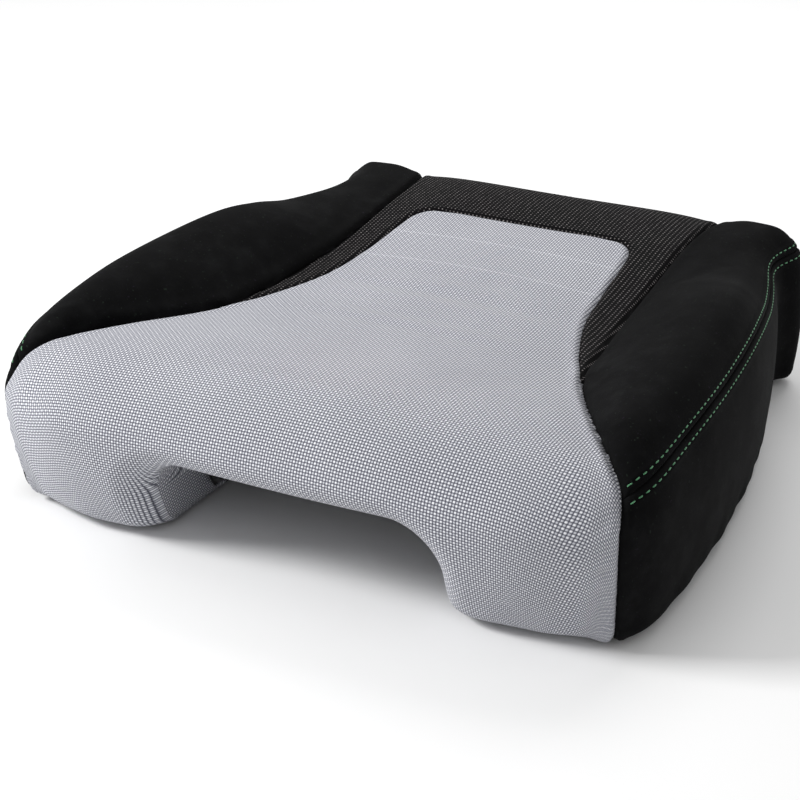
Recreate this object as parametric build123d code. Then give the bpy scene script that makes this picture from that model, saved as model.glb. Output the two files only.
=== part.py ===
from build123d import *
import os

# Upholstered booster cushion: a moulded hollow shell, foam pads over it, and a sewn cover in
# three cloths that is drawn under the rim by an elastic hem.
# Millimetres. +Z is up, the front faces -Y, and the origin is on the floor under the middle.

# ---- overall size -------------------------------------------------------------------------
width = 450.0            # widest, at the belly of the side walls
depth = 462.0            # front bulge to rear wall
front_y = -depth / 2
rear_y = depth / 2
foot_proud = 3.0         # how far the rubber feet lift the cover off the floor

# ---- heights of the upholstered form ------------------------------------------------------
bulge_height = 78.0      # where the front wall stands furthest out
front_crest = 123.0      # front roll of the seat
seat_height = 107.0      # hollow of the seat
rear_crest = 119.0       # seat's rise at the rear
bolster_height = 133.0   # crest of the side bolsters
horn_height = 118.0      # ends of the bolsters at the rear
toe_back = 22.0          # how far the front wall draws back at its foot

# ---- plan of the form ---------------------------------------------------------------------
front_half = 130.0       # half width of the straight part of the front
shoulder_x = 205.0       # half widths round the front corner
corner_x = 222.0
waist_x = 205.0          # half widths down the tapering rear half
horn_root_x = 190.0
notch_x = 180.0          # belt notch in front of each rear horn
horn_x = 191.0
front_corner_radius = 46.0
rear_corner_radius = 17.0
seat_half = 104.0        # half width of the flat of the seat
crest_inner = 168.0      # half widths between which the bolster crest is level
crest_outer = 192.0
profile_radius = 16.0    # rounding of the bolsters across the width
profile_over = 5.0       # how far the cross profiles stand above the bolsters' crest

# ---- front arch ---------------------------------------------------------------------------
arch_half = 101.0
arch_height = 62.0
arch_radius = 30.0
arch_lining = 62.0       # how far the seat cloth is turned in under the arch
arch_tunnel = 92.0       # length of the moulded walls behind it

# ---- layers -------------------------------------------------------------------------------
cloth = 3.0              # cloth with its laminated foam backing
fit = 0.3                # clearance between soft parts and what they lie on
foam_side = 9.0
foam_top = 21.0
wall = 3.0               # moulded shell
rib_depth = 10.0
rib_thickness = 2.5

# ---- seams of the cover, half plan --------------------------------------------------------
insert_rear_half = 85.0      # rear corners of the woven seat panel
insert_rear_y = rear_y - 95.0
insert_waist = (100.0, 10.0)
border_tail = (131.0, front_y + 155.0)     # where the border panel runs out to nothing
insert_front = (201.0, front_y + 19.0)   # where the woven panel meets the front corner
border_rear_half = 121.0
edge_seam_inset = 17.0       # bolster seam, in from the plan outline
row_spacing = 8.5            # between the two rows of topstitching
thread = 0.8
thread_proud = 0.6
rear_seam_z = 84.0           # lower edge of the border panel on the rear wall

# ---- hem and feet -------------------------------------------------------------------------
hem_width = 32.0             # inner and outer edges of the hem, in from the plan outline
hem_start = 14.0
hem_thickness = 2.4
elastic_width = 6.0
elastic_thickness = 1.2
elastic_inset = 2.0          # from the hem's inner edge
foot_radius = 16.0
foot_height = foot_proud + cloth + hem_thickness
foot_hem_gap = 5.0           # between a foot and the hem
foot_plate = 4.0
foot_plate_length = 120.0
screw_radius = 2.0
screw_head_radius = 3.6
screw_head_height = 1.8
screw_head_depth = 0.6       # how far the head sits up in the foot
screw_length = 16.0
boss_radius = 6.0
boss_height = 20.0
bore_clearance = 0.05

# ---- tie-down strips ----------------------------------------------------------------------
strip_width = 16.0
strip_thickness = 1.6
strip_front_y = front_y + 165.0
strip_rear_y = rear_y - 113.0
strip_inset = 3.0            # from the seat's flat edge

STANDING = (Align.CENTER, Align.CENTER, Align.MIN)
FEET = ("front_right", "front_left", "rear_right", "rear_left")


def mirrored(right_half):
    """A closed face from the points of its right half, front to rear."""
    left_half = [(-x, y) for x, y in reversed(right_half)]
    return make_face(Polyline(right_half + left_half, close=True))


def corners_near(face, radius, wanted):
    """The face with its corners that `wanted` picks rounded."""
    picked = [v for v in face.vertices() if wanted(v)]
    return fillet(picked, radius)


def plan_face():
    face = mirrored([
        (front_half, front_y),
        (shoulder_x, front_y + 19),
        (corner_x, front_y + 48),
        (width / 2, front_y + 98),
        (width / 2, front_y + 190),
        (waist_x, front_y + 325),
        (horn_root_x, rear_y - 84),
        (notch_x, rear_y - 56),
        (horn_x, rear_y - 28),
        (horn_x - 3, rear_y),
    ])
    face = corners_near(face, rear_corner_radius, lambda v: v.Y > rear_y - 60)
    return corners_near(face, front_corner_radius, lambda v: v.Y < front_y + 195)


def side_face(crest, middle, rear):
    """The form from the side, as y, z. It runs below the floor, and is cut off there."""
    points = [
        (front_y + toe_back + 12, -40),
        (front_y + toe_back, foot_proud),
        (front_y, bulge_height),
        (front_y + 16, 106),
        (front_y + 52, crest),
        (front_y + 150, middle),
        (front_y + 262, middle),
        (rear_y - 100, rear),
        (rear_y - 16, rear - 3),
        (rear_y, rear - 26),
        (rear_y, -40),
    ]
    face = make_face(Polyline(points, close=True))
    return corners_near(face, 12, lambda v: v.Y > foot_proud + 1)


def front_face():
    """The form from the front, as x, z, with no hollow between the bolsters."""
    face = mirrored([
        (width / 2 - 6, -40),
        (width / 2, 58),
        (width / 2 - 8, bolster_height - 22),
        (crest_outer, bolster_height + profile_over),
    ])
    return corners_near(face, profile_radius, lambda v: v.Y > 40)


def bolster_face():
    """One bolster from the front, as x, z. Its outer side runs on past the form."""
    points = [
        (seat_half, -40),
        (seat_half, seat_height - 20),
        (crest_inner, bolster_height + profile_over),
        (width, bolster_height + profile_over),
        (width, -40),
    ]
    face = make_face(Polyline(points, close=True))
    return corners_near(face, profile_radius, lambda v: v.X == crest_inner)


PLAN = plan_face()
SEAT_SIDE = side_face(front_crest, seat_height, rear_crest)
BOLSTER_SIDE = side_face(front_crest, bolster_height, horn_height)
FRONT = front_face()
BOLSTER = bolster_face()
far = 600.0
hem_z = foot_proud + cloth
shell_z = hem_z + hem_thickness
ABOVE_FOOT = Pos(0, 0, foot_proud + far / 2) * Box(far, far, far)
ABOVE_SHELL = Pos(0, 0, shell_z + far / 2) * Box(far, far, far)


def grown(face, amount):
    """A flat face with its outline moved out by amount, or in if it is negative."""
    return face if amount == 0 else offset(face, amount)


def along_x(face):
    return extrude(Plane.YZ * face, far / 2, both=True)


def along_y(face):
    return extrude(Plane.XZ * face, far / 2, both=True)


def form(side_inset, top_inset, floor=ABOVE_FOOT):
    """The cushion's form, moved in from its sides and from its top."""
    bolster = along_y(grown(BOLSTER, -top_inset))
    bolsters = along_x(grown(BOLSTER_SIDE, -top_inset)) & (bolster + mirror(bolster, Plane.YZ))
    seat = along_x(grown(SEAT_SIDE, -top_inset))
    around = extrude(grown(PLAN, -side_inset), far / 2) & along_y(grown(FRONT, -side_inset))
    return (seat + bolsters) & around & floor


def arch(growth, rear):
    """The opening in the front, as a solid from ahead of the cushion back to y = rear."""
    half, top = arch_half + growth, arch_height + growth
    face = make_face(Polyline([(-half, -far), (half, -far), (half, top), (-half, top)], close=True))
    face = fillet([v for v in face.vertices() if v.Y > 0], arch_radius + growth)
    length = rear - (front_y - 100)
    return Pos(0, rear, 0) * extrude(Plane.XZ * face, length)


def prism(face):
    return extrude(face, far)


def one(shape):
    """A boolean's result as one compound of its solids."""
    solids = shape.solids()
    return solids[0] if len(solids) == 1 else Compound(children=list(solids))


def right_side(shape):
    return one(shape & (Pos(far / 2, 0, 0) * Box(far, far, far)))


def save(name, shape):
    shape.label = name
    export_step(shape, f"parts/{name}.step")
    print(f"{name:24s} solids {len(shape.solids())}  volume {shape.volume / 1000:.1f} cm3")


def save_pair(name, shape):
    save(f"{name}_right", one(shape))
    save(f"{name}_left", one(mirror(shape, Plane.YZ)))


# ---- cover --------------------------------------------------------------------------------
def insert_face():
    """Plan of the woven seat panel. It runs on past the front wall."""
    face = mirrored([
        (insert_front[0] + 4, front_y - 60),
        insert_front,
        border_tail,
        insert_waist,
        (insert_rear_half + 3, insert_rear_y - 60),
        (insert_rear_half, insert_rear_y),
    ])
    face = corners_near(face, 18, lambda v: v.Y > insert_rear_y - 1)
    return corners_near(face, 60, lambda v: -100 < v.Y < insert_rear_y - 40)


def border_face():
    """Plan of everything between the bolsters, the woven panel included."""
    face = mirrored([
        (insert_front[0] + 4, front_y - 60),
        insert_front,
        border_tail,
        (insert_waist[0] + 23, insert_waist[1]),
        (border_rear_half, rear_y - 60),
        (border_rear_half, rear_y + 60),
    ])
    return corners_near(face, 60, lambda v: 0 < v.Y < insert_rear_y)


outer = form(0, 0)
inside_cloth = form(cloth, cloth) - arch(cloth, front_y + arch_lining)
cover = outer - arch(0, front_y + arch_tunnel) - inside_cloth
insert_zone = prism(insert_face())
border_zone = prism(border_face())
bolster_zone = prism(grown(PLAN, -edge_seam_inset))
rear_zone = Pos(0, rear_y, 0) * Box(far, 60, 2 * rear_seam_z)

seat_panel = one(cover & insert_zone)
between = (cover & border_zone) - insert_zone
border_panel = one(between - rear_zone)
rear_panel = one(between & rear_zone)
outside = right_side(cover - border_zone - insert_zone)
bolster_panel = one(outside & bolster_zone)
side_panel = one(outside - bolster_zone)


def topstitch(inset):
    """One row of raised thread along the bolster's edge."""
    curtain = prism(grown(PLAN, -inset)) - prism(grown(PLAN, -inset - thread))
    skin = form(-thread_proud, -thread_proud) - form(0, 0)
    above = Pos(0, 0, rear_seam_z + far / 2) * Box(far, far, far)
    return one(right_side(skin & curtain & above) - insert_zone - border_zone)


# ---- foam ---------------------------------------------------------------------------------
foam_under = arch(cloth + fit + wall + fit, front_y + arch_tunnel + wall + 2 * fit)
foam = form(cloth + fit, cloth + fit, ABOVE_SHELL) - form(cloth + foam_side, cloth + foam_top) - foam_under
strip_x = seat_half - strip_inset - strip_width / 2
strip_length = strip_rear_y - strip_front_y
strip_plan = Pos(strip_x, (strip_front_y + strip_rear_y) / 2, 0) * Box(strip_width, strip_length, far)
strip_layer = form(cloth + fit, cloth + fit) - form(cloth + fit, cloth + fit + strip_thickness)
strip = one(strip_layer & strip_plan)
seat_prism = Box(2 * seat_half, far, far)
seat_foam = one((foam & seat_prism) - strip - mirror(strip, Plane.YZ))
bolster_foam = right_side(foam - Box(2 * (seat_half + fit), far, far))

# ---- shell --------------------------------------------------------------------------------
shell_side = cloth + foam_side + fit
shell_top = cloth + foam_top + fit
tunnel_rear = front_y + arch_tunnel
shell_body = form(shell_side, shell_top, ABOVE_SHELL) - arch(cloth + fit, tunnel_rear)
hollow = form(shell_side + wall, shell_top + wall, ABOVE_SHELL) - arch(cloth + fit + wall, tunnel_rear)
deck_z = seat_height - shell_top - wall


def foot_places():
    front_foot_y = front_y + toe_back + hem_width + foot_hem_gap + foot_radius
    rear_foot_y = rear_y - hem_width - foot_hem_gap - foot_radius - 8
    front_foot_x = corner_x - hem_width - foot_hem_gap - foot_radius
    rear_foot_x = notch_x - hem_width - foot_hem_gap - foot_radius
    for x, y in ((front_foot_x, front_foot_y), (rear_foot_x, rear_foot_y)):
        yield x, y
        yield -x, y


def ribs():
    long_rib = Pos(0, 60, deck_z) * Box(rib_thickness, far, 2 * rib_depth)
    cross_rib = Pos(0, 0, deck_z) * Box(far, rib_thickness, 2 * rib_depth)
    behind = Pos(0, tunnel_rear + 10 + far / 2, 0) * Box(far, far, far)
    lines = [Pos(x, 0, 0) * long_rib for x in (-70, 0, 70)]
    lines += [Pos(0, y, 0) * cross_rib for y in (-60, 50, 160)]
    return [line & hollow & behind for line in lines]


def foot_mounts():
    """A plate inside the rim with a boss for the screw, one for each foot."""
    for x, y in foot_places():
        plate = Pos(x, y, shell_z + foot_plate / 2) * Box(foot_plate_length, 2 * foot_radius + 8, foot_plate)
        boss = Pos(x, y, shell_z + boss_height / 2) * Cylinder(boss_radius, boss_height)
        yield (plate + boss) & hollow


shell = shell_body - hollow
for piece in [*ribs(), *foot_mounts()]:
    shell = shell + piece
for x, y in foot_places():
    shell = shell - Pos(x, y, shell_z) * Cylinder(screw_radius + bore_clearance, 2 * screw_length)

# ---- hem and its elastic ------------------------------------------------------------------
behind_toe = Pos(0, front_y + toe_back + far / 2, 0) * Rectangle(far, far)
FOOTPRINT = PLAN & behind_toe


def hem_band(outer_inset, inner_inset, low, high):
    """A flat band that follows the foot of the form, cut off where it meets the arch."""
    ring = grown(FOOTPRINT, -outer_inset) - grown(FOOTPRINT, -inner_inset)
    return Pos(0, 0, low) * extrude(ring, high - low) - arch(cloth, tunnel_rear)


elastic_z = hem_z + (hem_thickness - elastic_thickness) / 2
elastic_edge = hem_width - elastic_inset
elastic = hem_band(elastic_edge - elastic_width, elastic_edge, elastic_z, elastic_z + elastic_thickness)
hem = hem_band(hem_start, hem_width, hem_z, shell_z) - elastic

# ---- feet and screws ----------------------------------------------------------------------
def foot():
    """A rubber foot with a recess for the screw's head. It stands on the floor, at z = 0."""
    pad = Cylinder(foot_radius, foot_height, align=STANDING)
    pad = fillet(pad.edges().group_by(Axis.Z)[0], 1.2)
    recess = Cylinder(screw_head_radius + fit, screw_head_height + screw_head_depth, align=STANDING)
    return pad - recess - Cylinder(screw_radius + bore_clearance, far)


def screw():
    """A pan-head screw, head down in the foot's recess."""
    head = Cylinder(screw_head_radius, screw_head_height, align=STANDING)
    shank = Cylinder(screw_radius, screw_length, align=STANDING)
    return Pos(0, 0, screw_head_depth) * (head + shank)


def build():
    os.makedirs("parts", exist_ok=True)
    save("seat_panel", seat_panel)
    save("border_panel", border_panel)
    save("rear_panel", rear_panel)
    save_pair("bolster_panel", bolster_panel)
    save_pair("side_panel", side_panel)
    save_pair("topstitch_inner", topstitch(edge_seam_inset + row_spacing / 2))
    save_pair("topstitch_outer", topstitch(edge_seam_inset - row_spacing / 2))
    save("seat_foam", seat_foam)
    save_pair("bolster_foam", bolster_foam)
    save_pair("tie_down_strip", strip)
    save("base_shell", one(shell))
    save("cover_hem", one(hem))
    save("hem_elastic", one(elastic))
    places = list(foot_places())
    for name, (x, y) in zip(FEET, places):
        save(f"foot_{name}", Pos(x, y, 0) * foot())
    save("foot_screws", Compound(children=[Pos(x, y, 0) * screw() for x, y in places]))


build()
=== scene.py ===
# %% [markdown]
# # An upholstered booster cushion
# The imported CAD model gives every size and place. This lesson dresses it: a sewn cover in three
# cloths, foam under it, two rows of topstitching, an elastic hem and the moulded base.
# Lengths are written in millimetres and turned to metres only when a mesh is made.

import math

import bmesh
import bpy
import numpy as np
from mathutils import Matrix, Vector
from mathutils.bvhtree import BVHTree
from mathutils.kdtree import KDTree


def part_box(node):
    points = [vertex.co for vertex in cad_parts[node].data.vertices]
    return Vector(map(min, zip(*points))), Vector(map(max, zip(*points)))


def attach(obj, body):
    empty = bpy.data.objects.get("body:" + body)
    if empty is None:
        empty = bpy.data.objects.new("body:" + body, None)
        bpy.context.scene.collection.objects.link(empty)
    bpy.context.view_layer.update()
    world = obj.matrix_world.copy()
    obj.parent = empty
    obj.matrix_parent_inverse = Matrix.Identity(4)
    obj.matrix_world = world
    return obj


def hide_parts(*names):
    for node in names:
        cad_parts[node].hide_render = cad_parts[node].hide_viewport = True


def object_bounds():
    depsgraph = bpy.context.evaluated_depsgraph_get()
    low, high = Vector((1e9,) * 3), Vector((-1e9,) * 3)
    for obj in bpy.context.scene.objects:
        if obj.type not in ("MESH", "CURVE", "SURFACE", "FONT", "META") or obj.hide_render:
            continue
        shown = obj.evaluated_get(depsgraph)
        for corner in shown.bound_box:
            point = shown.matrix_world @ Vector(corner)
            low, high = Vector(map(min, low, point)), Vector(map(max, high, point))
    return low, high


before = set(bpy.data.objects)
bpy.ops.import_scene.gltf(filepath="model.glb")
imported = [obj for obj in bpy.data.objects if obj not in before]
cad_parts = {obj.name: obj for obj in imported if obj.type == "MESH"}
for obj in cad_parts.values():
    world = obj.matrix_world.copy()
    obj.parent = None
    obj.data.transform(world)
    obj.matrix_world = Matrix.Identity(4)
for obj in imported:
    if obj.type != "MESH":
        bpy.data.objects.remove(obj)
cad_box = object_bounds()
MM = 0.001
low, high = (np.array(corner) / MM for corner in cad_box)
HALF = (high[0] - low[0]) / 2
FRONT, REAR, TOP = low[1], high[1], high[2]
CLOTH_THICK = 2.4
SKIN_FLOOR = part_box("cover_hem")[0][2] / MM - CLOTH_THICK - 0.1
print("half width", round(HALF, 1), "front", round(FRONT, 1), "rear", round(REAR, 1), "top", round(TOP, 1))

# %% [markdown]
# ## Curves through a few points
# Every outline and profile below is a short list of points with a smooth curve through them. A
# Catmull-Rom curve passes through its points, so the list reads like measurements on a pattern.


# %% Curve helpers
def smooth_path(points, per_span=24):
    """Points along a Catmull-Rom curve through the given ones."""
    knots = np.array(points, float)
    knots = np.vstack([2 * knots[0] - knots[1], knots, 2 * knots[-1] - knots[-2]])
    t = np.linspace(0, 1, per_span, endpoint=False)[:, None]
    spans = []
    for a, b, c, d in zip(knots, knots[1:], knots[2:], knots[3:]):
        square = 2 * a - 5 * b + 4 * c - d
        cube = 3 * b - a - 3 * c + d
        spans.append(0.5 * (2 * b + (c - a) * t + square * t**2 + cube * t**3))
    return np.vstack([*spans, knots[-2]])


def profile(points):
    """A smooth function of one number from a few (position, value) pairs."""
    path = smooth_path(points, 16)
    return lambda x: np.interp(x, path[:, 0], path[:, 1])


def lengths_along(path):
    return np.concatenate([[0], np.cumsum(np.linalg.norm(np.diff(path, axis=0), axis=1))])


def spaced(path, count):
    """That many points at even distances along a path, ends included."""
    along = lengths_along(path)
    wanted = np.linspace(0, along[-1], count)
    return np.stack([np.interp(wanted, along, path[:, k]) for k in range(path.shape[1])], axis=1)


def ease(x):
    x = np.clip(x, 0, 1)
    return x * x * (3 - 2 * x)


def mirrored(points):
    return [(-x, y) for x, y in reversed(points)]


# %% [markdown]
# ## The pattern of the cover
# The plan outline bulges behind the front corners, draws in towards the rear, and has a shallow
# notch in front of each rear horn, where a lap belt passes. The seams are curves in plan as well.

# %% Plan outline and seams, right half
front_side = [(0, FRONT), (0.42 * HALF, FRONT + 1), (0.70 * HALF, FRONT + 3), (0.915 * HALF, FRONT + 19)]
flank = [
    (0.915 * HALF, FRONT + 19),
    (0.985 * HALF, FRONT + 48),
    (HALF, FRONT + 98),
    (HALF, FRONT + 165),
    (0.965 * HALF, FRONT + 250),
    (0.905 * HALF, FRONT + 325),
    (0.84 * HALF, REAR - 82),
    (0.797 * HALF, REAR - 54),
    (0.85 * HALF, REAR - 30),
    (0.835 * HALF, REAR - 9),
]
rear_side = [(0.835 * HALF, REAR - 9), (0.74 * HALF, REAR - 1), (0.4 * HALF, REAR), (0, REAR)]

TAIL = (131, FRONT + 156)
front_seam = [(219, FRONT - 40), (209, FRONT + 26), (190, FRONT + 54), (160, FRONT + 100), TAIL]
border_seam = front_seam + [
    (124, FRONT + 202), (119, 19), (116, 86), (116, 172), (123, REAR - 6), (126, REAR + 40),
]
insert_seam = [
    TAIL, (112, FRONT + 199), (97, 16), (91, 66), (88, 104),
    (85, 124), (76, 135), (58, 138), (30, 138), (0, 138),
]

# %% Heights of the seat, the bolsters and the wall
seat_line = profile([
    (FRONT, 112), (FRONT + 34, 118), (FRONT + 62, 117), (FRONT + 112, 112), (FRONT + 172, 107),
    (0, 106), (60, 109), (110, 114), (150, 118), (195, 119), (REAR, 114),
])
bolster_line = profile([
    (FRONT, 104), (FRONT + 28, 109), (FRONT + 66, 123), (FRONT + 120, 131), (FRONT + 170, TOP),
    (20, TOP), (60, 129), (95, 122), (140, 119), (180, 120), (212, 120), (REAR, 116),
])
wide_line = profile([
    (FRONT, 0.89 * HALF), (FRONT + 50, 0.98 * HALF), (FRONT + 98, HALF), (FRONT + 165, HALF),
    (FRONT + 250, 0.965 * HALF), (FRONT + 325, 0.905 * HALF), (REAR - 82, 0.835 * HALF), (REAR, 0.79 * HALF),
])
seam_line = profile([(y, x) for x, y in border_seam[1:]])
BULGE = 76.0          # height at which the walls stand furthest out
ROLL_SIDE = 32.0      # how far in from the wall the top starts, at the sides
ROLL_FRONT = 50.0
ROLL_REAR = 22.0


def top_height(x, y):
    """Height of the upholstery's top where the walls have rolled over into it."""
    x = np.abs(x)
    seat = seat_line(y) - 7 * ease(x / 210) * ease((FRONT + 110 - y) / 90)
    valley = 4.0 * (x / seam_line(y)) ** 6
    seam = seam_line(y)
    crest = np.maximum(wide_line(y) - ROLL_SIDE, seam + 16)
    rise = np.sin(np.pi / 2 * np.clip((x - seam) / (crest - seam), 0, 1)) ** 0.9
    base = seat - np.clip(valley, 0, 4)
    return base + (np.maximum(bolster_line(y), base - 6) - base) * rise * (x > seam)


# %% [markdown]
# ## One surface under all the cloth
# A cover sewn from flat panels still follows one foam form. So the form is made first, as rings
# round the outline for the walls and their roll, and a grid inside the last ring for the top. The
# seams are cut into it afterwards. A remeshed or sculpted lump would lose the sharp seams.


# %% Outline samples, with the way out at each
OUTLINE_PASSES = 24   # smoothing of the outline's corners
OUT_PASSES = 10       # smoothing of the outward directions
ROLL_PASSES = 170     # smoothing of a ring a quarter turn in, so that no corner folds over
RELAX_PASSES = 400    # evening out of the grid inside the last ring
FINE_COUNT = 740      # samples round the outline for which ROLL_PASSES is right


def outline(front_count, flank_count):
    """Points round the plan, and the outward direction at each."""
    right_front = smooth_path(front_side)
    front = spaced(np.vstack([mirrored([tuple(p) for p in right_front])[:-1], right_front]), front_count)
    right = spaced(smooth_path(flank), flank_count)
    right_rear = smooth_path(rear_side)
    rear = spaced(np.vstack([right_rear[:-1], mirrored([tuple(p) for p in right_rear])]), front_count)
    left = spaced(np.array(mirrored([tuple(p) for p in smooth_path(flank)])), flank_count)
    loop = np.vstack([front[:-1], right[:-1], rear[:-1], left[:-1]])
    for _ in range(OUTLINE_PASSES):
        loop = (np.roll(loop, 1, axis=0) + 2 * loop + np.roll(loop, -1, axis=0)) / 4
    along = np.roll(loop, -1, axis=0) - np.roll(loop, 1, axis=0)
    out = np.stack([along[:, 1], -along[:, 0]], axis=1)
    out /= np.linalg.norm(out, axis=1)[:, None]
    for _ in range(OUT_PASSES):
        out = (np.roll(out, 1, axis=0) + 2 * out + np.roll(out, -1, axis=0)) / 4
    return loop, out / np.linalg.norm(out, axis=1)[:, None]


def roll_size(out):
    facing_front = np.clip(-out[:, 1], 0, 1)
    facing_rear = np.clip(out[:, 1], 0, 1)
    return ROLL_SIDE + (ROLL_FRONT - ROLL_SIDE) * facing_front**2 + (ROLL_REAR - ROLL_SIDE) * facing_rear**2


TURN_RADIUS = 8.0     # the cloth's turn under the bottom edge
TURN_DEPTH = 16.0     # how far it goes in under the rim
TOE_FRONT = 21.0      # how far the wall draws in at its foot
TOE_SIDE = 4.0


def wall_point(loop, out, rise):
    """A ring of the wall: rise is below 0 for the turn under, 0 to 1 from the foot to the bulge."""
    toe = TOE_SIDE + (TOE_FRONT - TOE_SIDE) * np.clip(-out[:, 1], 0, 1) ** 1.5
    if rise < 0:
        inset = toe + TURN_RADIUS - rise * (TURN_DEPTH - TURN_RADIUS)
        return np.column_stack([loop - out * inset[:, None], np.full(len(loop), SKIN_FLOOR)])
    height = SKIN_FLOOR + (BULGE - SKIN_FLOOR) * rise
    turn = max(TURN_RADIUS - (height - SKIN_FLOOR), 0)
    inset = toe * (1 - rise) ** 1.7 + TURN_RADIUS - math.sqrt(TURN_RADIUS**2 - turn**2)
    return np.column_stack([loop - out * inset[:, None], np.full(len(loop), height)])


def roll_point(loop, out, angle):
    """A ring of the roll: angle is 0 at the bulge and a quarter turn where the top starts. Each
    sample may have its own."""
    angle = np.broadcast_to(angle, len(loop))
    inset = roll_size(out) * (1 - np.cos(angle))
    plan = loop - out * inset[:, None]
    spread = len(loop) / FINE_COUNT
    for _ in range(int(ROLL_PASSES * spread**2 * (1 - math.cos(float(angle.mean()))))):
        plan = (np.roll(plan, 1, axis=0) + 2 * plan + np.roll(plan, -1, axis=0)) / 4
    top = top_height(plan[:, 0], plan[:, 1])
    return np.column_stack([plan, BULGE + (top - BULGE) * np.sin(angle)])


# %% The seam along the bolster's edge lies part of the way round the roll
EDGE_ANGLE = math.radians(40)
ROW_OFFSET = 4.25     # each row of topstitching from the seam


def edge_angles(loop, out, offset):
    """The angle of the roll at that distance above the edge seam, along the surface."""
    plan = loop - out * (roll_size(out) * (1 - math.cos(EDGE_ANGLE)))[:, None]
    rise = (top_height(plan[:, 0], plan[:, 1]) - BULGE) * math.cos(EDGE_ANGLE)
    run = roll_size(out) * math.sin(EDGE_ANGLE)
    return EDGE_ANGLE + offset / np.hypot(rise, run)


def form(front_count, flank_count, wall_steps, roll_steps, seam_offsets):
    """Points, faces, ring number and unrolled cloth position of the whole form."""
    loop, out = outline(front_count, flank_count)
    rings = [wall_point(loop, out, r) for r in (-1, -0.5)]
    rings += [wall_point(loop, out, r) for r in np.linspace(0, 1, wall_steps)]
    below = edge_angles(loop, out, seam_offsets[0])
    above = edge_angles(loop, out, seam_offsets[-1])
    lower_steps = max(roll_steps // 2, 2)
    rings += [roll_point(loop, out, below * t) for t in np.linspace(0, 1, lower_steps, endpoint=False)[1:]]
    first_seam_ring = len(rings)
    rings += [roll_point(loop, out, edge_angles(loop, out, offset)) for offset in seam_offsets]
    steps = np.linspace(0, 1, roll_steps + 1)[1:]
    rings += [roll_point(loop, out, above + (math.pi / 2 - above) * t) for t in steps]
    rings = np.array(rings)
    count = len(loop)
    inner = rings[-1]
    run = np.linalg.norm(np.diff(rings[::-1], axis=0), axis=2)
    away = np.vstack([np.zeros(count), np.cumsum(run, axis=0)])[::-1]
    cloth = inner[None, :, :2] + out[None] * away[:, :, None]

    f, s = front_count, flank_count
    corner = [0, f - 1, f + s - 2, 2 * f + s - 3]
    inner_plan = inner[:, :2]
    sides = [np.take(inner_plan, range(a, a + n), axis=0, mode="wrap") for a, n in zip(corner, (f, s, f, s))]
    bottom, right, top, left = sides[0], sides[1], sides[2][::-1], sides[3][::-1]
    u = np.linspace(0, 1, f)[:, None, None]
    v = np.linspace(0, 1, s)[None, :, None]
    patch = (1 - v) * bottom[:, None] + v * top[:, None] + (1 - u) * left[None] + u * right[None]
    corners = (
        (1 - u) * (1 - v) * bottom[0] + u * (1 - v) * bottom[-1]
        + (1 - u) * v * top[0] + u * v * top[-1]
    )
    patch = patch - corners
    for _ in range(RELAX_PASSES):
        around = patch[:-2, 1:-1] + patch[2:, 1:-1] + patch[1:-1, :-2] + patch[1:-1, 2:]
        patch[1:-1, 1:-1] = around / 4
    inside = patch[1:-1, 1:-1].reshape(-1, 2)
    centre = np.column_stack([inside, top_height(inside[:, 0], inside[:, 1])])

    index = np.zeros((f, s), int)
    base = (len(rings) - 1) * count
    index[1:-1, 1:-1] = len(rings) * count + np.arange(len(inside)).reshape(f - 2, s - 2)
    for k in range(f):
        index[k, 0] = base + k
        index[k, -1] = base + corner[3] - k
    for k in range(s):
        index[-1, k] = base + corner[1] + k
        index[0, k] = base + (corner[3] + s - 1 - k) % count

    points = np.vstack([rings.reshape(-1, 3), centre])
    unrolled = np.vstack([cloth.reshape(-1, 2), inside])
    ring = np.concatenate([np.repeat(np.arange(len(rings)), count), np.full(len(inside), len(rings))])
    k = np.arange(count)
    faces = []
    for r in range(len(rings) - 1):
        a, b = r * count + k, r * count + (k + 1) % count
        faces.append(np.stack([a, b, b + count, a + count], axis=1))
    grid = np.stack([index[:-1, :-1], index[1:, :-1], index[1:, 1:], index[:-1, 1:]], axis=-1)
    faces.append(grid.reshape(-1, 4))
    return points, np.vstack(faces), ring, unrolled, first_seam_ring


# %% [markdown]
# ## Padding by cloth simulation
# Foam under a sewn cover swells between the seams. A coarse copy of the form is inflated a little
# by Blender's Cloth, with its seams and rim pinned, and how far each point moved is kept. The fine
# cover then borrows that movement. Simulating the fine cover itself would take minutes.


# %% Mesh helpers
def mesh_object(name, points, faces):
    mesh = bpy.data.meshes.new(name)
    mesh.from_pydata((np.asarray(points) * MM).tolist(), [], [list(map(int, f)) for f in faces])
    mesh.validate()
    mesh.update()
    piece = bpy.data.objects.new(name, mesh)
    bpy.context.scene.collection.objects.link(piece)
    return piece


def mesh_points(mesh):
    flat = np.empty(len(mesh.vertices) * 3)
    mesh.vertices.foreach_get("co", flat)
    return flat.reshape(-1, 3) / MM


# %% Distances in plan
def seam_distance(xy, seam, closed_side):
    """Signed distance in plan to a seam and its mirror: negative towards the middle of the seat."""
    path = smooth_path(seam, 20)
    x, y = np.abs(xy[:, 0]), xy[:, 1]
    start, step = path[:-1], np.diff(path, axis=0)
    best = np.full(len(x), 1e9)
    for (ax, ay), (dx, dy) in zip(start, step):
        t = np.clip(((x - ax) * dx + (y - ay) * dy) / (dx * dx + dy * dy), 0, 1)
        best = np.minimum(best, (x - ax - t * dx) ** 2 + (y - ay - t * dy) ** 2)
    if closed_side:
        inside = (x < np.interp(y, path[:, 1], path[:, 0], right=0)) & (y < path[:, 1].max())
    else:
        inside = x < np.interp(y, path[:, 1], path[:, 0])
    return np.sqrt(best) * np.where(inside, -1, 1)


def border_distance(xy):
    return seam_distance(xy, border_seam, False)


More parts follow.
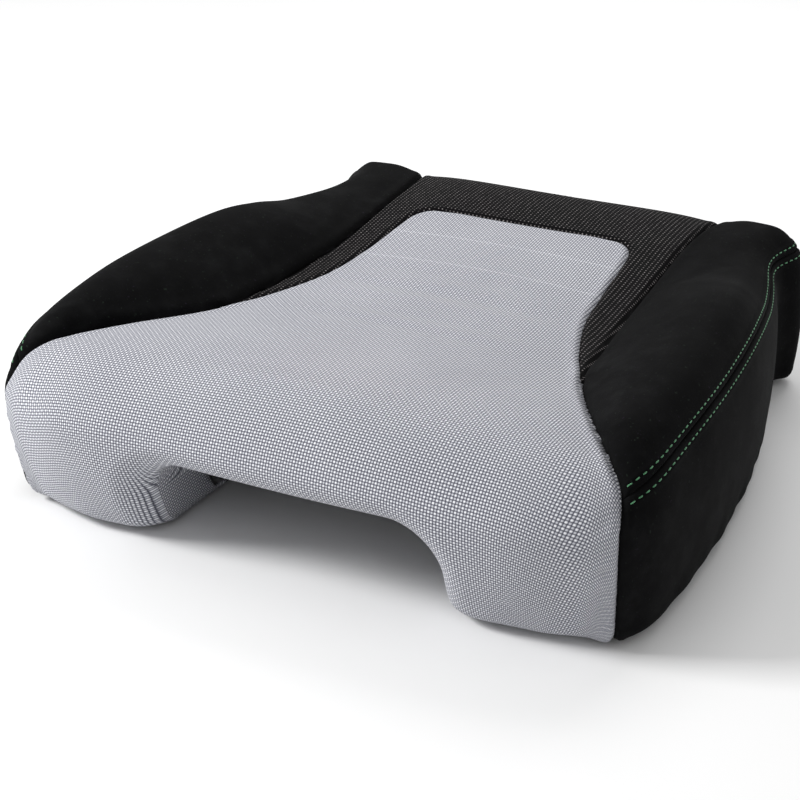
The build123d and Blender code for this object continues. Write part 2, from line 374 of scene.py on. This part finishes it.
def insert_distance(xy):
    return seam_distance(xy, insert_seam, True)


# %% The arch between the front lobes
ARCH_HALF, ARCH_TOP, ARCH_CORNER = 100.0, 61.0, 30.0
ARCH_ROLL = 22.0      # rounding from the front face into the arch
LINING = 50.0         # depth of cloth turned in behind that rounding


def arch_distance(x, z):
    """Distance from the arch's outline in the front view: negative in the opening."""
    beside = np.abs(x) - (ARCH_HALF - ARCH_CORNER)
    above = z - (ARCH_TOP - ARCH_CORNER)
    outside = np.hypot(np.maximum(beside, 0), np.maximum(above, 0))
    return outside + np.minimum(np.maximum(beside, above), 0) - ARCH_CORNER


def turned_in(points):
    """The front face rounded back into the arch. Only points of the front wall move."""
    front_wall = (points[:, 1] < FRONT + 90) & (points[:, 2] < seat_line(FRONT + 34) - 4)
    near = np.clip(1 - arch_distance(points[:, 0], points[:, 2]) / ARCH_ROLL, 0, 1)
    moved = points.copy()
    moved[:, 1] += np.where(front_wall, ARCH_ROLL * (1 - np.sqrt(1 - near**2)), 0)
    return moved


# %% Inflate the coarse form
def inflated(points, faces, pinned, most):
    """Where the points go when the form is blown up a little with the pinned ones held."""
    pad = mesh_object("padding_form", points, faces)
    group = pad.vertex_groups.new(name="held")
    for k, hold in enumerate(pinned):
        if hold > 0:
            group.add([k], float(hold), "REPLACE")
    cloth = pad.modifiers.new("padding", "CLOTH")
    cloth.settings.use_pressure = True
    cloth.settings.uniform_pressure_force = 4.0
    cloth.settings.effector_weights.gravity = 0
    cloth.settings.vertex_group_mass = "held"
    cloth.settings.quality = 4
    cloth.settings.mass = 0.3
    cloth.settings.tension_stiffness = 20
    cloth.settings.compression_stiffness = 14
    cloth.settings.bending_stiffness = 1.5
    cloth.collision_settings.use_collision = False
    scene = bpy.context.scene
    for number in range(1, 21):
        scene.frame_set(number)
    shape = pad.evaluated_get(bpy.context.evaluated_depsgraph_get())
    after = mesh_points(shape.data)
    scene.frame_set(1)
    bpy.data.objects.remove(pad, do_unlink=True)
    move = after - points
    size = np.linalg.norm(move, axis=1)
    move *= (most * np.tanh(size / most) / np.maximum(size, 1e-6))[:, None]
    print("padding moved by up to", round(float(np.linalg.norm(move, axis=1).max()), 2), "mm")
    return move


coarse, coarse_faces, coarse_ring, _, coarse_seam = form(74, 78, 14, 10, [0.0])
PUFF = 6.0
held = np.zeros(len(coarse))
held[np.abs(border_distance(coarse)) < 4.0] = 1
behind_tail = coarse[:, 1] > TAIL[1] - 4
held[(np.abs(insert_distance(coarse)) < 3.5) & behind_tail & (coarse[:, 2] > BULGE)] = 1
suede = border_distance(coarse) > 0
held[(coarse_ring == coarse_seam) & suede] = 1
held[coarse_ring <= 3] = 1
arch_side = (coarse[:, 1] < FRONT + 90) & (coarse[:, 2] < BULGE + 16)
held[arch_side & (arch_distance(coarse[:, 0], coarse[:, 2]) < 10)] = 1
puff = inflated(coarse, coarse_faces, held, PUFF)

coarse_tree = KDTree(len(coarse))
for number, point in enumerate(coarse):
    coarse_tree.insert(point, number)
coarse_tree.balance()


def padded_points(points):
    """The points moved as the simulated padding moved near them."""
    moved = np.array(points, float)
    for k, point in enumerate(points):
        found = coarse_tree.find_n(point, 5)
        weight = np.array([1 / (distance + 0.5) ** 2 for _, _, distance in found])
        move = puff[[number for _, number, _ in found]]
        moved[k] += weight @ move / weight.sum()
    return moved


# %% [markdown]
# ## The fine cover
# The same form again with small steps, and extra rings beside the edge seam. The other seams are
# cut in by walking every edge that crosses a level of the distance to the seam and splitting it
# there, which gives edges that follow the seam exactly.

# %% Build the fine form as a bmesh with its cloth position
SEAM_OFFSETS = [-8, -6.4, -5.2, -4.25, -3.2, -2, -1, 0, 1, 2, 3.2, 4.25, 5.2, 6.4, 8]
fine, fine_faces, fine_ring, fine_cloth, first_seam = form(184, 190, 30, 22, SEAM_OFFSETS)
edge_ring = first_seam + len(SEAM_OFFSETS) // 2
bulge_ring = 2 + 30 - 1
cover_source = mesh_object("cover_source", fine, fine_faces)
skin = bmesh.new()
skin.from_mesh(cover_source.data)
bpy.data.objects.remove(cover_source, do_unlink=True)
layer_u = skin.verts.layers.float.new("cloth_u")
layer_v = skin.verts.layers.float.new("cloth_v")
layer_ring = skin.verts.layers.float.new("ring")
skin.verts.ensure_lookup_table()
for vert, (u, v), ring in zip(skin.verts, fine_cloth, fine_ring):
    vert[layer_u], vert[layer_v], vert[layer_ring] = u, v, ring
print("fine form:", len(skin.verts), "points")


def all_points():
    skin.verts.index_update()
    return np.array([v.co for v in skin.verts]) / MM


def cut_at(values, allowed):
    """Splits the skin's faces along the line where the values pass zero."""
    crossing = {}
    snap = 0.12
    on_line = set()
    for edge in skin.edges[:]:
        a, b = edge.verts
        fa, fb = values[a.index], values[b.index]
        if fa * fb >= 0 or not (allowed[a.index] and allowed[b.index]):
            continue
        share = fa / (fa - fb)
        if share < snap:
            on_line.add(a)
        elif share > 1 - snap:
            on_line.add(b)
        else:
            crossing[edge] = (a, share)
    for edge, (start, share) in crossing.items():
        _, new = bmesh.utils.edge_split(edge, start, share)
        on_line.add(new)
    for face in skin.faces[:]:
        hits = [v for v in face.verts if v in on_line]
        if len(hits) == 2 and not any(e.other_vert(hits[0]) == hits[1] for e in hits[0].link_edges):
            bmesh.utils.face_split(face, hits[0], hits[1])


GROOVE_LEVELS = (-3.2, -1.3, 0.0, 1.3, 3.2)
for level in GROOVE_LEVELS:
    points = all_points()
    cut_at(border_distance(points) - level, points[:, 2] > SKIN_FLOOR - 1)
for level in GROOVE_LEVELS:
    points = all_points()
    cut_at(insert_distance(points) - level, (points[:, 1] > TAIL[1] + 3) & (points[:, 2] > BULGE + 6))
for angle in np.radians((0, 15, 30, 45, 60, 75, 90)):
    points = all_points()
    level = ARCH_ROLL * (1 - math.sin(angle))
    cut_at(arch_distance(points[:, 0], points[:, 2]) - level, points[:, 1] < FRONT + 90)
print("cut skin:", len(skin.verts), "points")

# %% Open the arch
opening = []
for face in skin.faces:
    centre = face.calc_center_median() / MM
    if centre.y < FRONT + 90 and arch_distance(np.array(centre.x), np.array(centre.z)) < 0:
        opening.append(face)
bmesh.ops.delete(skin, geom=opening, context="FACES")
points = turned_in(all_points())
for vert, place in zip(skin.verts, points):
    vert.co = place * MM


def gradient_of_arch(x, z):
    step = 0.5
    gx = (arch_distance(x + step, z) - arch_distance(x - step, z)) / (2 * step)
    gz = (arch_distance(x, z + step) - arch_distance(x, z - step)) / (2 * step)
    return gx, gz


def line_arch():
    """Cloth turned in behind the rounded edge of the arch, straight back in a few steps."""
    steps = 12
    rim = []
    for edge in skin.edges:
        if not edge.is_boundary:
            continue
        a, b = (v.co / MM for v in edge.verts)
        if all(abs(arch_distance(np.array(p.x), np.array(p.z))) < 0.6 and p.y < FRONT + 120 for p in (a, b)):
            rim.append(edge)
    for number in range(steps):
        grown = bmesh.ops.extrude_edge_only(skin, edges=rim)["geom"]
        rim = [g for g in grown if isinstance(g, bmesh.types.BMEdge)]
        for vert in (g for g in grown if isinstance(g, bmesh.types.BMVert)):
            place = vert.co / MM
            gx, gz = gradient_of_arch(place.x, place.z)
            share = (number + 1) / steps
            wave = 1.1 * math.sin(place.x * 0.09 + place.z * 0.13) * share
            vert.co.y += LINING / steps * MM
            vert.co.x += float(gx) * wave * 0.25 * MM
            vert.co.z += float(gz) * wave * 0.25 * MM
            vert[layer_u] -= float(gx) * LINING / steps
            vert[layer_v] -= float(gz) * LINING / steps
    return rim


lining_rim = line_arch()
bmesh.ops.recalc_face_normals(skin, faces=skin.faces[:])
print("arch lined,", len(lining_rim), "edges at its back")

# %% [markdown]
# ## Seams pull the cloth in
# A seam is a valley with a low swell on each side. The edge seam between bolster and side wall is
# topstitched twice, so there the folded cloth stands up as a flat band with the seam between two
# rows. Short puckers run off the seam at the front corners, where a flat panel goes round a bend.


# %% Shape of the seams, as a height above the padding
def bell(x, width):
    return np.exp(-((x / width) ** 2))


def seam_relief(points, ring):
    border = border_distance(points)
    insert = insert_distance(points)
    behind_tail = points[:, 1] > TAIL[1] - 1
    on_top = points[:, 2] > BULGE + 4
    in_arch = (arch_distance(points[:, 0], points[:, 2]) < 1) & (points[:, 1] < FRONT + 130)
    relief = np.where(in_arch, 0, 0.7 * bell(np.abs(border) - 5, 3) - 2.3 * bell(border, 1.6))
    insert_valley = 0.5 * bell(np.abs(insert) - 4.5, 2.5) - 1.7 * bell(insert, 1.4)
    relief += np.where(behind_tail & on_top, insert_valley, 0)
    offset = np.interp(ring, first_seam + np.arange(len(SEAM_OFFSETS)), SEAM_OFFSETS, left=-40, right=40)
    band = 0.9 * ease((7.5 - np.abs(offset)) / 1.6) - 2.0 * bell(offset, 0.9)
    band -= 0.55 * bell(np.abs(offset) - ROW_OFFSET, 0.6)
    relief += np.where(border > 0, band * ease(border / 4), 0)
    rear_seam = (border < 0) & (points[:, 1] > REAR - 20) & ~in_arch
    relief -= np.where(rear_seam, 1.5 * bell(ring - bulge_ring, 0.6), 0)
    along = points[:, 2] - 0.6 * points[:, 1]
    gather = np.sin(along / 2.3) + 0.6 * np.sin(along / 1.43 + 1.2)
    front_corner = ease((FRONT + 75 - points[:, 1]) / 40) * (border < 0)
    relief += 0.42 * gather * bell(border + 7, 7) * front_corner
    foot = bell(points[:, 2] - SKIN_FLOOR - 9, 9) * ~in_arch
    sweep = np.arctan2(points[:, 1], points[:, 0]) * 200
    relief += foot * (0.5 * np.sin(sweep / 9) + 0.35 * np.sin(sweep / 4.1 + 0.8))
    broad = np.sin(points[:, 0] / 31 + 1.3) * np.sin(points[:, 1] / 37 + 0.4)
    broad += 0.5 * np.sin(points[:, 2] / 17)
    return relief + 0.35 * broad * ~in_arch


# %% Settle the cloth, keeping each point's place on the plain form to sort the panels by
plain = all_points()
skin.normal_update()
normals = np.array([v.normal for v in skin.verts])
ring_of = np.array([v[layer_ring] for v in skin.verts])
cloth_of = np.array([(v[layer_u], v[layer_v]) for v in skin.verts])
in_arch = (arch_distance(plain[:, 0], plain[:, 2]) < 1) & (plain[:, 1] < FRONT + 130)
swelled = np.where(in_arch[:, None], plain, padded_points(plain))
settled = swelled + normals * seam_relief(plain, ring_of)[:, None]
for vert, place in zip(skin.verts, settled):
    vert.co = place * MM
skin.normal_update()
skin_tree = BVHTree.FromBMesh(skin)

# %% Sort the faces into panels
faces = [[v.index for v in face.verts] for face in skin.faces]
centre = np.array([plain[f].mean(axis=0) for f in faces])
face_ring = np.array([ring_of[f].mean() for f in faces])
outside = border_distance(centre) > 0
bordering = ~outside & (centre[:, 1] > TAIL[1] + 3) & (insert_distance(centre) > 0)
PANELS = {
    "seat_panel": ~outside & ~bordering,
    "border_panel": bordering & (face_ring > bulge_ring),
    "rear_panel": bordering & (face_ring < bulge_ring),
    "bolster_panel_right": outside & (face_ring > edge_ring) & (centre[:, 0] > 0),
    "bolster_panel_left": outside & (face_ring > edge_ring) & (centre[:, 0] < 0),
    "side_panel_right": outside & (face_ring < edge_ring) & (centre[:, 0] > 0),
    "side_panel_left": outside & (face_ring < edge_ring) & (centre[:, 0] < 0),
}
print({name: int(chosen.sum()) for name, chosen in PANELS.items()})

# %% [markdown]
# ## Materials
# Cloth is drawn by arithmetic on the unrolled position of each point, so a weave keeps its pitch
# over the roll and down the walls. A small class wraps a socket, and the maths is then written as
# ordinary expressions.


# %% A socket that does arithmetic
class Sock:
    def __init__(self, tree, socket):
        self.tree, self.socket = tree, socket

    def node(self, kind, settings=None, out=0, **inputs):
        made = self.tree.nodes.new(kind)
        for key, value in (settings or {}).items():
            if key == "stops":
                ramp = made.color_ramp
                while len(ramp.elements) < len(value):
                    ramp.elements.new(0.5)
                for element, (position, colour) in zip(ramp.elements, value):
                    element.position, element.color = position, (*colour, 1)
            else:
                setattr(made, key, value)
        for key, value in inputs.items():
            target = made.inputs[int(key[1:])] if key[0] == "i" and key[1:].isdigit() else made.inputs[key]
            if isinstance(value, Sock):
                self.tree.links.new(value.socket, target)
            else:
                target.default_value = value
        return Sock(self.tree, made.outputs[out])

    def maths(self, operation, *values):
        inputs = {f"i{k}": v for k, v in enumerate(values)}
        return self.node("ShaderNodeMath", {"operation": operation}, **inputs)

    def __add__(self, other):
        return self.maths("ADD", self, other)

    def __sub__(self, other):
        return self.maths("SUBTRACT", self, other)

    def __rsub__(self, other):
        return self.maths("SUBTRACT", other, self)

    def __mul__(self, other):
        return self.maths("MULTIPLY", self, other)

    def __truediv__(self, other):
        return self.maths("DIVIDE", self, other)

    def __pow__(self, other):
        return self.maths("POWER", self, other)

    __radd__ = __add__
    __rmul__ = __mul__

    def sin(self):
        return self.maths("SINE", self)

    def cos(self):
        return self.maths("COSINE", self)

    def size(self):
        return self.maths("ABSOLUTE", self)

    def above(self, limit):
        return self.maths("GREATER_THAN", self, limit)

    def step(self, start, end):
        smooth = {"interpolation_type": "SMOOTHSTEP"}
        return self.node("ShaderNodeMapRange", smooth, i0=self, i1=start, i2=end)

    def colours(self, *stops):
        return self.node("ShaderNodeValToRGB", {"stops": stops}, Fac=self)


def blend(mask, first, second):
    """A colour that goes from first to second with the mask."""
    made = mask.node("ShaderNodeMix", {"data_type": "RGBA"}, out=2, i0=mask)
    mixer = made.socket.node
    for socket, value in ((mixer.inputs[6], first), (mixer.inputs[7], second)):
        if isinstance(value, Sock):
            mask.tree.links.new(value.socket, socket)
        else:
            socket.default_value = (*value, 1)
    return made


class Finish:
    """A material with its shader, the position on the cloth and the place in the object."""

    def __init__(self, name, **fixed):
        self.material = bpy.data.materials.new(name)
        self.material.use_nodes = True
        self.tree = self.material.node_tree
        self.shader = self.tree.nodes["Principled BSDF"]
        for key, value in fixed.items():
            self.shader.inputs[key.replace("_", " ")].default_value = value
        start = Sock(self.tree, None)
        self.cloth = start.node("ShaderNodeAttribute", {"attribute_name": "cloth"}, out=1)
        self.place = start.node("ShaderNodeTexCoord", out=3)
        self.start = start

    def axes(self, vector):
        split = vector.node("ShaderNodeSeparateXYZ", Vector=vector).socket.node
        return [Sock(self.tree, output) for output in split.outputs]

    def noise(self, scale, detail=3.0, rough=0.5, at=None):
        return self.start.node(
            "ShaderNodeTexNoise", Vector=at or self.place, Scale=scale, Detail=detail, Roughness=rough
        )

    def set(self, key, value):
        self.tree.links.new(value.socket, self.shader.inputs[key])

    def bump(self, height, strength, distance):
        made = self.start.node("ShaderNodeBump", Height=height, Strength=strength, Distance=distance)
        self.set("Normal", made)


# %% [markdown]
# ### Silver-grey dobby weave
# Pale picks cross over and under darker blue-grey ends, so light nubs stand in staggered rows with
# dark gaps between. The product of two cosines is highest at each crossing, and its sign says
# which thread is on top there.


# %% Woven seat cloth
def woven_cloth():
    finish = Finish("woven_dobby", Roughness=0.78, Sheen_Weight=0.12, Sheen_Roughness=0.5)
    u, v, _ = finish.axes(finish.cloth)
    wander = (finish.noise(60.0) - 0.5) * 0.35
    pitch = 1.9
    crossing = ((u + wander) * (math.pi / pitch)).cos() * ((v + wander) * (math.pi / pitch)).cos()
    nub = crossing.size() ** 0.6
    weft_on_top = crossing.above(0.0)
    slub = finish.noise(900.0, 2.0) * 0.35 + 0.82
    patch = finish.noise(14.0, 2.0) * 0.16 + 0.92
    light = nub * (weft_on_top * 0.26 + 0.74) * slub * patch
    for line_at in (96.0, 54.0):
        near = ((v - line_at).size() / 0.9).step(1.0, 0.0)
        light = light + near * 0.16
    colour = light.colours(
        (0.0, (0.030, 0.031, 0.048)),
        (0.30, (0.12, 0.123, 0.155)),
        (0.64, (0.52, 0.53, 0.58)),
        (1.0, (0.93, 0.93, 0.96)),
    )
    finish.set("Base Color", colour)
    finish.set("Roughness", 0.88 - nub * 0.18)
    finish.bump(nub, 0.55, 0.0006)
    return finish.material


# %% [markdown]
# ### Dotted spacer mesh
# A black knit with small pale dots where the spacer yarn shows through, in straight rows and columns.


# %% Mesh border cloth
def dotted_mesh():
    finish = Finish(
        "dotted_mesh", Roughness=0.7, Sheen_Weight=0.01, Sheen_Roughness=0.4, Specular_IOR_Level=0.08
    )
    u, v, _ = finish.axes(finish.cloth)
    wander = (finish.noise(45.0) - 0.5) * 0.5
    across, down = 3.1, 2.9
    wave = ((u + wander) * (math.pi / across)).cos() * ((v + wander) * (math.pi / down)).cos()
    dot = (wave.size() ** 1.2).step(0.74, 0.93)
    alive = (finish.noise(700.0, 2.0) * 1.5 - 0.25).step(0.1, 0.9)
    knit = (u * (math.pi / 0.7)).cos() * (v * (math.pi / 0.7)).cos()
    colour = blend(dot * (alive * 0.75 + 0.1), (0.0020, 0.0019, 0.0022), (0.36, 0.33, 0.33))
    finish.set("Base Color", colour)
    finish.set("Roughness", 0.85 - dot * 0.3)
    finish.bump(dot * 0.8 + knit * 0.2, 0.6, 0.0006)
    return finish.material


# %% [markdown]
# ### Black suede
# Microfibre with a short nap. It is almost black, lighter where the nap has been brushed the other
# way, and carries faint greenish and violet flecks. Sheen gives the soft edge light.


# %% Suede
def suede():
    finish = Finish(
        "black_suede", Roughness=0.95, Sheen_Weight=0.012, Sheen_Roughness=0.4, Specular_IOR_Level=0.06
    )
    brushed = finish.noise(11.0, 5.0, 0.62)
    mottle = finish.noise(70.0, 4.0, 0.6)
    fleck = finish.noise(420.0, 2.0, 0.5)
    tone = brushed * 0.6 + mottle * 0.4
    nap = tone.colours(
        (0.36, (0.0016, 0.0016, 0.0018)),
        (0.52, (0.0034, 0.0034, 0.0037)),
        (0.66, (0.0075, 0.0077, 0.0080)),
    )
    green = blend(fleck.step(0.66, 0.76), nap, (0.013, 0.018, 0.014))
    violet = blend((1 - fleck).step(0.68, 0.78), green, (0.014, 0.011, 0.018))
    finish.set("Base Color", violet)
    finish.set("Roughness", 0.98 - tone * 0.14)
    pile = finish.noise(1700.0, 2.0)
    finish.bump(pile * 0.6 + mottle * 0.5, 0.35, 0.0005)
    return finish.material


# %% Thread, tape, foam, elastic
def green_thread():
    finish = Finish("green_thread", Roughness=0.5, Sheen_Weight=0.2)
    x, y, z = finish.axes(finish.place)
    ply = ((x + y + z) * 5200.0).sin() * 0.5 + 0.5
    twist = ply * 0.5 + finish.noise(300.0) * 0.5
    finish.set("Base Color", blend(twist, (0.012, 0.11, 0.035), (0.13, 0.42, 0.20)))
    finish.bump(ply, 0.5, 0.0002)
    return finish.material


def tape(name, dark, light, pitch):
    finish = Finish(name, Roughness=0.85, Sheen_Weight=0.1)
    x, y, z = finish.axes(finish.place)
    rib = ((x + y) * (math.pi / pitch / MM)).sin() * ((x - y + z) * (math.pi / pitch / MM)).sin()
    finish.set("Base Color", blend(rib * 0.5 + 0.5, dark, light))
    finish.set("Roughness", 0.9 - rib.size() * 0.15)
    finish.bump(rib, 0.5, 0.0004)
    return finish.material


def moulded_foam():
    finish = Finish("moulded_foam", Roughness=0.95)
    cells = finish.start.node("ShaderNodeTexVoronoi", Vector=finish.place, Scale=650.0)
    finish.set("Base Color", blend(cells, (0.10, 0.10, 0.105), (0.24, 0.24, 0.245)))
    finish.set("Roughness", 0.99 - cells * 0.1)
    finish.bump(cells, 0.6, 0.0008)
    return finish.material


# %% Moulded plastic, rubber and screws
def moulded(name, dark, light, grain, rough):
    finish = Finish(name, Roughness=rough)
    spark = finish.noise(grain, 3.0, 0.6)
    flow = finish.noise(9.0, 3.0)
    finish.set("Base Color", blend(flow * 0.6 + spark * 0.4, dark, light))
    finish.set("Roughness", spark * 0.25 + (rough - 0.12))
    finish.bump(spark, 0.35, 0.0004)
    return finish.material


def zinc_plate():
    finish = Finish("zinc_plate", Metallic=1.0, Roughness=0.35)
    spangle = finish.start.node("ShaderNodeTexVoronoi", Vector=finish.place, Scale=900.0)
    finish.set("Base Color", blend(spangle, (0.45, 0.46, 0.47), (0.66, 0.66, 0.64)))
    finish.set("Roughness", finish.noise(500.0) * 0.3 + 0.22)
    finish.bump(finish.noise(1400.0), 0.2, 0.0002)
    return finish.material


WOVEN, MESH, SUEDE, THREAD = woven_cloth(), dotted_mesh(), suede(), green_thread()
FOAM = moulded_foam()
HEM = tape("binding_tape", (0.008, 0.008, 0.009), (0.030, 0.030, 0.032), 1.1)
ELASTIC = tape("flat_elastic", (0.02, 0.02, 0.02), (0.07, 0.07, 0.07), 0.8)
STRIP = tape("hook_strip", (0.01, 0.01, 0.01), (0.04, 0.04, 0.04), 1.6)
SHELL = moulded("moulded_black", (0.012, 0.012, 0.013), (0.028, 0.028, 0.030), 1100.0, 0.55)
RUBBER = moulded("rubber_black", (0.014, 0.014, 0.014), (0.035, 0.034, 0.033), 500.0, 0.8)
ZINC = zinc_plate()

# %% [markdown]
# ## Cut the cover into its panels
# Each panel becomes its own piece with thickness, and stands in for its plain CAD solid. The
# neighbours meet at the bottom of the seam's valley, as two sewn edges do.

# %% Make a piece from some of the skin's faces
def skin_piece(name, chosen, points, material, thickness, slot):
    picked = [faces[k] for k in np.flatnonzero(chosen)]
    used = sorted({v for f in picked for v in f})
    number = {old: new for new, old in enumerate(used)}
    piece = mesh_object(name, points[used], [[number[v] for v in f] for f in picked])
    unrolled = piece.data.attributes.new("cloth", "FLOAT_VECTOR", "POINT")
    flat = np.column_stack([cloth_of[used], np.zeros(len(used))])
    unrolled.data.foreach_set("vector", flat.ravel())
    piece.data.shade_smooth()
    piece.data.materials.append(material)
    thick = piece.modifiers.new("thickness", "SOLIDIFY")
    thick.thickness = thickness * MM
    thick.offset = -1
    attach(piece, "root")
    return piece


PANEL_CLOTH = {"seat": (WOVEN, "woven"), "border": (MESH, "mesh")}
for name, chosen in PANELS.items():
    material, slot = PANEL_CLOTH.get(name.split("_")[0], (SUEDE, "suede"))
    piece = skin_piece(f"{name}_cloth", chosen, settled, material, CLOTH_THICK, slot)
    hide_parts(name)

# %% Foam pads follow the inside of the cover
FOAM_GAP, FOAM_THICK = 5.0, 6.0
under = swelled - normals * FOAM_GAP
above_rim = face_ring > 5
not_lining = arch_distance(centre[:, 0], centre[:, 2]) > 3
for name, chosen in {
    "seat_foam": ~outside & not_lining,
    "bolster_foam_right": outside & (centre[:, 0] > 0),
    "bolster_foam_left": outside & (centre[:, 0] < 0),
}.items():
    pad = skin_piece(f"{name}_pad", chosen & above_rim, under, FOAM, FOAM_THICK, "foam")
    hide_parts(name)

# %% The strips that hold the cover down lie just under it
STRIP_SINK, STRIP_THICK = 6.0, 1.6
STRIP_ACROSS, STRIP_ALONG = 9, 93     # points across and along each strip
for name in ("tie_down_strip_right", "tie_down_strip_left"):
    (x0, y0, _), (x1, y1, _) = (np.array(corner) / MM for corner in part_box(name))
    across, lengthwise = np.linspace(x0, x1, STRIP_ACROSS), np.linspace(y0, y1, STRIP_ALONG)
    spots = np.array([(x, y) for y in lengthwise for x in across])
    ribbon = np.column_stack([spots, top_height(spots[:, 0], spots[:, 1]) - STRIP_SINK])
    quads = []
    for row in range(STRIP_ALONG - 1):
        for k in range(row * STRIP_ACROSS, row * STRIP_ACROSS + STRIP_ACROSS - 1):
            quads.append((k, k + 1, k + STRIP_ACROSS + 1, k + STRIP_ACROSS))
    piece = mesh_object(f"{name}_ribbon", ribbon, quads)
    piece.data.shade_smooth()
    piece.data.materials.append(STRIP)
    thick = piece.modifiers.new("thickness", "SOLIDIFY")
    thick.thickness = STRIP_THICK * MM
    thick.offset = -1
    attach(piece, "root")
    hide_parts(name)

# %% [markdown]
# ## Topstitching
# Each stitch is a short grain of thread that rises from its hole, lies on the cloth and goes down
# again. They are real geometry, because light catches each one.

# %% Stitches along a row
STITCH_PITCH, STITCH_LENGTH, THREAD_RADIUS = 6.0, 4.0, 0.5
edge_loop, edge_out = outline(184, 190)


def row_path(offset):
    """The right-hand row at that distance from the edge seam, from front to rear, on the padding."""
    row = roll_point(edge_loop, edge_out, edge_angles(edge_loop, edge_out, offset))
    run = np.flatnonzero((row[:, 0] > 0) & (border_distance(row) > 1.0))
    return padded_points(row[run])


def stitch_row(name, path, replaced):
    along = lengths_along(path)
    starts = np.arange(2.0, along[-1] - STITCH_PITCH, STITCH_PITCH)
    points, quads, sides = [], [], 8
    shares = np.linspace(-1, 1, 7)
    for start in starts:
        spots = start + STITCH_LENGTH * (shares + 1) / 2
        line = np.stack([np.interp(spots, along, path[:, k]) for k in range(3)], axis=1)
        first = len(points)
        for share, spot in zip(shares, line):
            on_skin, normal, _, _ = skin_tree.find_nearest(Vector(spot * MM))
            lift = 0.55 * (1 - share**4) - 0.35
            middle = np.array(on_skin) / MM + np.array(normal) * lift
            forward = (line[-1] - line[0]) / np.linalg.norm(line[-1] - line[0])
            side = np.cross(normal, forward)
            radius = THREAD_RADIUS * math.sqrt(max(1 - share**4, 0.02))
            for k in range(sides):
                turn = 2 * math.pi * k / sides
                around = math.cos(turn) * side + 0.8 * math.sin(turn) * np.array(normal)
                points.append(middle + radius * around)
        for row in range(len(shares) - 1):
            for k in range(sides):
                a, b = first + row * sides + k, first + row * sides + (k + 1) % sides
                quads.append((a, b, b + sides, a + sides))
        quads.append(tuple(range(first + sides - 1, first - 1, -1)))
        last = first + (len(shares) - 1) * sides
        quads.append(tuple(range(last, last + sides)))
    piece = mesh_object(name, points, quads)
    piece.data.shade_smooth()
    piece.data.materials.append(THREAD)
    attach(piece, "root")
    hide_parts(replaced)
    print(name, len(starts), "stitches")


for word, offset in (("inner", ROW_OFFSET), ("outer", -ROW_OFFSET)):
    path = row_path(offset)
    stitch_row(f"stitches_{word}_right", path, f"topstitch_{word}_right")
    stitch_row(f"stitches_{word}_left", path * (-1, 1, 1), f"topstitch_{word}_left")

# %% [markdown]
# ## Parts that keep their CAD shape
# The base, hem, elastic, feet and screws are right as they are, and only get their finish.

# %% Finishes for CAD parts
finish_of = {"base_shell": SHELL, "cover_hem": HEM, "hem_elastic": ELASTIC, "foot_screws": ZINC}
for name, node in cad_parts.items():
    if name.startswith("foot_") and name != "foot_screws":
        finish_of[name] = RUBBER
for name, material in finish_of.items():
    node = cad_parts[name]
    if not node.material_slots:
        node.data.materials.append(material)
    for place in node.material_slots:
        place.material = material

# %% [markdown]
# ## Floor, light and camera
# A plain pale floor runs out into a pale world. One soft light stands to the front left, as the
# bright top and the darker right lobe call for, and a weaker one lights the back.

# %% Studio
SPAN = 4000
floor_corners = [(-SPAN, -SPAN, 0), (SPAN, -SPAN, 0), (SPAN, SPAN, 0), (-SPAN, SPAN, 0)]
floor = mesh_object("floor", floor_corners, [(0, 1, 2, 3)])
paper = Finish("pale_paper", Roughness=0.9)
paper.set("Base Color", blend(paper.noise(3.0), (0.88, 0.88, 0.88), (0.92, 0.92, 0.92)))
floor.data.materials.append(paper.material)

world = bpy.data.worlds.new("studio")
world.use_nodes = True
world.node_tree.nodes["Background"].inputs["Color"].default_value = (1.0, 1.0, 1.0, 1)
world.node_tree.nodes["Background"].inputs["Strength"].default_value = 0.55
bpy.context.scene.world = world
bpy.context.scene.view_settings.view_transform = "Standard"


def soft_light(name, place, size, power, aim=(0, 0, 60)):
    lamp = bpy.data.lights.new(name, "AREA")
    lamp.size = size * MM
    lamp.energy = power
    lit = bpy.data.objects.new(name, lamp)
    lit.location = Vector(place) * MM
    lit.rotation_euler = (Vector(aim) - Vector(place)).to_track_quat("-Z", "Y").to_euler()
    bpy.context.scene.collection.objects.link(lit)


soft_light("key_left", (-1500, -900, 1250), 600, 40.0)
soft_light("over_the_back", (0, 1300, 1500), 1000, 12.0)

# %% Camera
AZIMUTH, ELEVATION = math.radians(27.19), math.radians(25.0)
DISTANCE, TARGET = 1277.4, Vector((0, -62.3, 59.4))
back = Vector((
    math.sin(AZIMUTH) * math.cos(ELEVATION),
    -math.cos(AZIMUTH) * math.cos(ELEVATION),
    math.sin(ELEVATION),
))
lens = bpy.data.cameras.new("camera")
lens.sensor_width = 36
lens.lens = 87.75
camera = bpy.data.objects.new("camera", lens)
camera.location = (TARGET + back * DISTANCE) * MM
camera.rotation_euler = back.to_track_quat("Z", "Y").to_euler()
bpy.context.scene.collection.objects.link(camera)
bpy.context.scene.camera = camera

# %% Free the working mesh
skin.free()
